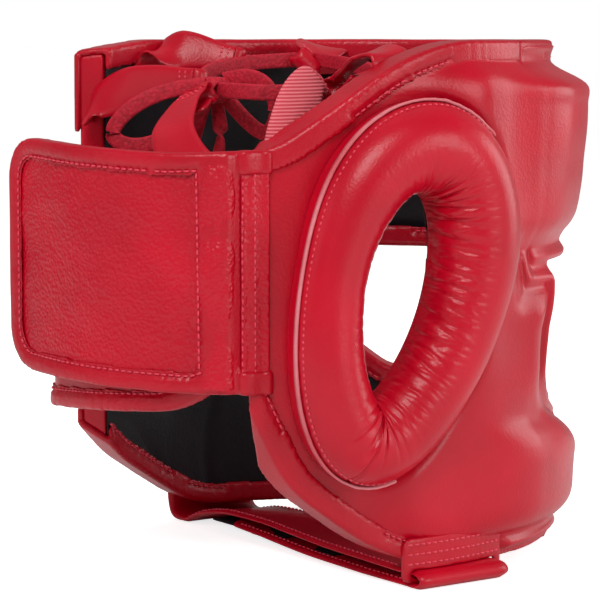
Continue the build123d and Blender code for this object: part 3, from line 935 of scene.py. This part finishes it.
def ribbon(name, places, width, thick, taper=(), steps=10, cup=0.0):
    # a strip of leather with rounded edges: places are (point in mm, way across it), and its middle follows
    # them on a smooth curve
    points = [Vector(p) for p, _ in places]
    across = [Vector(a).normalized() for _, a in places]
    spine = []
    for i in range(len(points) - 1):
        before, after = points[max(i - 1, 0)], points[min(i + 2, len(points) - 1)]
        a, b = points[i], points[i + 1]
        for k in range(steps + (i == len(points) - 2)):
            t = k / steps
            place = 0.5 * (2 * a + (b - before) * t + (2 * before - 5 * a + 4 * b - after) * t * t
                           + (3 * a - before - 3 * b + after) * t ** 3)
            spine.append((place, across[i].lerp(across[i + 1], t).normalized()))
    total, half = len(spine) - 1, 8
    frames = []
    for i, (place, side) in enumerate(spine):
        ahead = (spine[min(i + 1, total)][0] - spine[max(i - 1, 0)][0]).normalized()
        side = (side - ahead * side.dot(ahead)).normalized()
        size = (along(taper, i / total) if taper else 1) * width / 2
        frames.append((place, side, side.cross(ahead).normalized(), size))

    def laid(i, j):
        # the upper side from edge to edge, and then the lower side back again
        place, side, up, size = frames[i]
        upper = j <= 2 * half
        u = (j - half) / half if upper else (3 * half + 1 - j) / half
        edge = math.sqrt(max(1 - max(abs(u) * size - (size - thick), 0) ** 2 / thick ** 2, 0))
        lift = (1 if upper else -1) * thick / 2 * max(edge, 0.25) + cup * (1 - u * u)
        return (place + side * u * size + up * lift) * mm

    return newObject(name, meshOf(name, tubeOf(total, 4 * half + 2, laid)))


def crossRow(obj, ends, way, depth=30):
    # stitches laid on a piece along a line between two points in mm, seen from the way out
    tree = treeOf(obj.data)
    a, b = (Vector(end) * mm for end in ends)
    out = Vector(way).normalized()
    row = []
    steps = max(int((b - a).length / (1.5 * mm)), 2)
    for k in range(steps + 1):
        hit = tree.ray_cast(a.lerp(b, k / steps) + out * depth * mm, -out)[0]
        if hit:
            row.append((hit + out * 0.1 * mm, out))
    return row


# the crown tabs; the turn is the tip folded back under itself round the lace. Sizes in mm
tab = {"thick": 2.2, "cup": 0.8, "taper": [(0, 1), (0.45, 1), (0.85, 0.62), (1, 0.6)], "turnRadius": 3.4,
       "turnEnd": (6, 9), "turnWidth": 0.6, "rows": (3, 6), "rowWidth": 0.26}
# each tab's width, and its middle line from the seam inside the rim to the tip, with the way across it
tabRuns = {
    "left_front_tab": (20, [
        ((60, -52, 206), (0.7, 0.7, 0)), ((57, -48, 216), (0.7, 0.7, 0)), ((48, -36, 217), (0.6, 0.6, 0.5)),
        ((41, -27, 215), (0.5, 0.5, 0.7)), ((35, -24, 214), (0.5, 0.5, 0.7)),
    ]),
    "left_side_tab": (20, [
        ((72, 38, 205), (-0.2, 1, 0)), ((70, 36, 215), (-0.2, 1, -0.3)), ((62, 27, 217), (0, 0.6, -0.8)),
        ((54, 16, 215), (0, 0.5, -0.9)), ((48, 9, 213), (0, 0.4, -0.9)),
    ]),
    "left_rear_tab": (20, [
        ((59, 77, 186), (-0.7, 0.6, 0)), ((55, 74, 195), (-0.5, 0.4, -0.7)), ((41, 66, 201), (-0.2, 0.1, -1)),
        ((25, 58, 204), (-0.2, 0.1, -1)), ((12, 53, 204), (-0.2, 0.1, -1)),
    ]),
    "right_rear_tab": (19, [
        ((-58, 78, 165), (0.6, 0.8, 0)), ((-38, 86, 172), (0.6, 0.8, -0.2)),
        ((-21, 84, 184), (0.6, 0.75, -0.25)), ((-8, 71, 195), (0.55, 0.7, -0.35)),
        ((-2, 61, 201), (0.5, 0.7, -0.4)),
    ]),
    "right_side_tab": (19, [
        ((-67, 60, 176), (-0.5, -0.7, -0.3)), ((-63, 55, 186), (-0.41, -0.59, -0.69)),
        ((-55, 44, 199), (-0.41, -0.59, -0.69)), ((-47, 33, 206), (-0.4, -0.5, -0.75)),
        ((-43, 26, 204), (-0.3, -0.5, -0.8)),
    ]),
    "right_front_tab": (20, [
        ((-77, 14, 206), (0, 1, 0)), ((-74, 14, 216), (0, 1, 0)), ((-62, 15, 217), (0.2, 0.9, -0.3)),
        ((-51, 17, 211), (0.3, 0.8, -0.5)), ((-45, 19, 206), (0.3, 0.8, -0.5)),
    ]),
}


def makeTab(name, width, places):
    strip = ribbon(f"{name}_leather", places, width, tab["thick"], tab["taper"], cup=tab["cup"])
    (tip, across), (before, _) = places[-1], places[-2]
    tip = Vector(tip)
    ahead = (tip - Vector(before)).normalized()
    out = Vector(across).normalized().cross(ahead).normalized()
    out = out if out.z > 0 else -out
    # the middle line of the turned tip runs over, round and back under
    radius, (under, back) = tab["turnRadius"], tab["turnEnd"]
    loop = []
    for k in range(9):
        turn = math.pi * (0.5 - k / 8 * 1.15)
        loop.append((tip - out * radius + (ahead * math.cos(turn) + out * math.sin(turn)) * radius, across))
    loop.append((tip - out * under - ahead * back, across))
    turned = ribbon(f"{name}_turn", loop, width * tab["turnWidth"], tab["thick"], steps=3)
    finish(turned, gloveLeather)
    # one tab is elastic, so that the crown gives
    material, slotName = (ribbedElastic, "elastic") if name == "right_side_tab" else (gloveLeather, "leather")
    finish(strip, material, [name])
    edge = Vector(across).normalized() * width * tab["rowWidth"]
    rows = [crossRow(strip, (tip - ahead * inset - edge, tip - ahead * inset + edge), out, 12)
            for inset in tab["rows"]]
    stitchPiece(f"{name}_stitches", rows, pitch=2.2, length=1.6)


for name, (width, places) in tabRuns.items():
    makeTab(name, width, places)
print("tabs laced")

# the chin strap comes down the left side, runs under the chin and through the keeper, and is folded back
strap = {"width": 46, "thick": 2.4, "y": -7, "rows": (20, -20)}
# the strap and its folded end: x and z of the middle line in mm, and how far it tilts towards the front
strapRun = [(93.6, 20, 0), (92.9, 9, 0), (89.5, 2.4, 0), (80, 1.5, 0), (66, 5.2, 0.06), (46, 7.4, 0.12),
            (16, 8.0, 0.1), (-30, 6.8, 0.03), (-80, 6.3, 0), (-94, 6.4, 0), (-98.2, 3.9, 0), (-95, 1.3, 0),
            (-89.2, 1.2, 0)]
strapEndRun = [(-88.8, 1.2, 0), (-60, 1.2, 0), (-20, 1.5, 0.03), (16, 2.6, 0.08), (46, 3.4, 0.1)]


def strapLeather(node, body, run, taper=(), steps=8):
    places = [((x, strap["y"], z), (0, 1, tilt)) for x, z, tilt in run]
    leather = ribbon(f"{node}_leather", places, strap["width"], strap["thick"], taper, steps=steps)
    return finish(leather, gloveLeather, [node], body=body)


def strapRows(leather, start, end, height):
    # a row of stitches along each edge of the strap
    return [crossRow(leather, [(x, strap["y"] + aside, height) for x in (start, end)], (0, 0, 1))
            for aside in strap["rows"]]


chinStrap = strapLeather("chin_strap", "guard", strapRun)
strapEnd = strapLeather("strap_end", "strap_tip", strapEndRun, [(0, 1), (0.9, 1), (1, 0.72)], steps=10)
stitchPiece("strap_end_stitches", strapRows(strapEnd, -86, 38, 6), "strap_tip")
stitchPiece("chin_strap_stitches", strapRows(chinStrap, -80, 80, 8))

# what keeps its made shape and is only rounded off: its material, its slot and its body
simplePieces = {
    "flap_lining": (bindingLeather, "lining", "rear_flap"),
    "flap_hook_panel": (napNylon, "hook_and_loop", "rear_flap"),
    "tongue_cover": (gloveLeather, "leather", "tongue"),
    "tongue_loop_panel": (napNylon, "hook_and_loop", "tongue"),
    "chin_strap_loop_panel": (napNylon, "hook_and_loop", "guard"),
    "strap_end_hook_panel": (napNylon, "hook_and_loop", "strap_tip"),
    "strap_keeper": (bindingLeather, "leather", "guard"),
    "lace_knot": (laceCotton, "lace", "guard"),
}
for part, (material, slotName, body) in simplePieces.items():
    finish(softened(copyOf(f"soft_{part}", [part]), 0.9 * mm, 2), material, [part], body=body)
keeper = bpy.data.objects["soft_strap_keeper"]
keeperRows = [crossRow(keeper, ((-93, -32, z), (-93, 18, z)), (-1, 0, 0)) for z in (18.5, 14.5, 10.5)]
stitchPiece("keeper_stitches", keeperRows)
print("straps laid")

# floor, light and the white surroundings
studio = {"floor": 0.9, "floorGlow": 0.75, "daylight": 0.26, "white": 1, "lookAt": (0, 0, 0.11)}
# each lamp: its place and size in metres, its power, and whether it shows in glossy surfaces
lamps = {
    "keyLight": ((-0.9, 0.9, 1.3), 0.7, 13, True),
    "rearLight": ((0.3, 1.6, 0.7), 0.7, 7, False),
    "sideLight": ((-1.6, -0.5, 0.6), 0.8, 9, True),
    "frontLight": ((-0.5, -1.5, 0.5), 0.9, 8, True),
    "topLight": ((0.5, -0.2, 1.6), 1.0, 8, False),
}


def seenDirectly(tree, low, high):
    # low for the light that falls on things, high for what the camera sees
    path = addNode(tree, "LightPath").outputs
    level = addNode(tree, "MapRange", [(path["Is Camera Ray"], "Value")])
    level.inputs["To Min"].default_value, level.inputs["To Max"].default_value = low, high
    return level.outputs["Result"]


def makeFloor():
    bm = bmesh.new()
    bmesh.ops.create_grid(bm, x_segments=1, y_segments=1, size=3)
    floor = newObject("floor", meshOf("floor", bm, shaded=False))
    material, tree, shader = newMaterial("paleFloor")
    shader.inputs["Base Color"].default_value = (studio["floor"], studio["floor"], studio["floor"], 1)
    shader.inputs["Roughness"].default_value = 0.8
    shader.inputs["Emission Color"].default_value = (1, 1, 1, 1)
    tree.links.new(seenDirectly(tree, 0, studio["floorGlow"]), shader.inputs["Emission Strength"])
    floor.data.materials.append(material)


def makeLight():
    world = bpy.data.worlds.new("studio")
    world.use_nodes = True
    bpy.context.scene.world = world
    background = world.node_tree.nodes["Background"]
    level = seenDirectly(world.node_tree, studio["daylight"], studio["white"])
    world.node_tree.links.new(level, background.inputs["Strength"])
    background.inputs["Color"].default_value = (1, 1, 1, 1)
    for name, (spot, size, power, shows) in lamps.items():
        lamp = bpy.data.objects.new(name, bpy.data.lights.new(name, "AREA"))
        lamp.data.size = size
        lamp.data.energy = power
        lamp.visible_glossy = shows
        lamp.location = spot
        lamp.rotation_euler = (Vector(spot) - Vector(studio["lookAt"])).to_track_quat("Z", "Y").to_euler()
        bpy.context.collection.objects.link(lamp)


makeFloor()
makeLight()
bpy.context.scene.view_settings.view_transform = "Standard"
print("stage lit")
